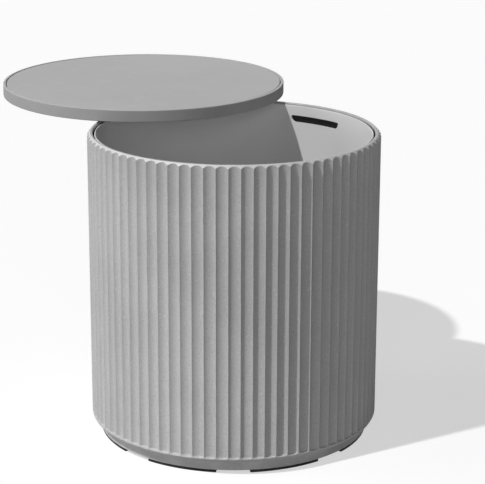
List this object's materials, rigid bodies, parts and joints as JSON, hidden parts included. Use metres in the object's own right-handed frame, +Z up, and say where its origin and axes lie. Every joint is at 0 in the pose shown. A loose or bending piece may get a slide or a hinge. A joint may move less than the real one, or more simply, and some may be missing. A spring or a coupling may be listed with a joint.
{
  "type": "ice bucket coffee table",
  "caption": "Round fluted concrete drum table on a set-back plinth, with a lift-out tub for ice and drinks under a loose round lid.",
  "frame": {"origin": "middle of the flat underside of the base panel, on the axis of the drum", "axes": "+Z up along the drum's axis, hand slots of the tub on +Y and -Y, lid slid off towards -X and a little +Y"},
  "size_m": [0.7427, 0.5699, 0.4988],
  "materials": {
    "concrete": "fine matt concrete",
    "pale_concrete": "smooth matt concrete",
    "liner_plastic": "satin plastic",
    "board": "grey fibre cement board",
    "rubber": "black rubber",
    "steel": "zinc plated steel"
  },
  "bodies": {
    "drum": {"drum_shell": "concrete", "plinth_ring": "concrete", "base_panel": "board", "foot_strip_1": "rubber", "foot_strip_2": "rubber", "foot_strip_3": "rubber", "foot_strip_4": "rubber", "foot_strip_5": "rubber", "foot_strip_6": "rubber", "foot_strip_7": "rubber", "foot_strip_8": "rubber", "base_bolt_1": "steel", "base_bolt_2": "steel", "base_bolt_3": "steel", "base_bolt_4": "steel", "base_bolt_5": "steel", "base_bolt_6": "steel", "base_bolt_7": "steel", "base_bolt_8": "steel", "panel_screw_1": "steel", "panel_screw_2": "steel", "panel_screw_3": "steel", "panel_screw_4": "steel", "panel_screw_5": "steel", "panel_screw_6": "steel", "panel_screw_7": "steel", "panel_screw_8": "steel", "liner_pad_1": "rubber", "liner_pad_2": "rubber", "liner_pad_3": "rubber", "liner_pad_4": "rubber"},
    "liner": {"liner": "liner_plastic"},
    "lid": {"lid_band": "pale_concrete", "lid_board": "board", "lid_top": "pale_concrete", "lid_screw_1": "steel", "lid_screw_2": "steel", "lid_screw_3": "steel", "lid_screw_4": "steel", "lid_screw_5": "steel", "lid_screw_6": "steel", "lid_screw_7": "steel", "lid_screw_8": "steel", "lid_bumper_1": "rubber", "lid_bumper_2": "rubber", "lid_bumper_3": "rubber", "lid_bumper_4": "rubber", "lid_bumper_5": "rubber", "lid_bumper_6": "rubber", "lid_bumper_7": "rubber", "lid_bumper_8": "rubber"}
  },
  "joints": [
    {"name": "liner_lift", "type": "slide", "parent": "drum", "child": "liner", "axis": [0, 0, 1], "range_m": [0, 0.27]},
    {"name": "lid_slide", "type": "slide", "parent": "liner", "child": "lid", "axis": [-0.9304, 0.3665, 0], "range_m": [-0.3067, 0.165]}
  ]
}
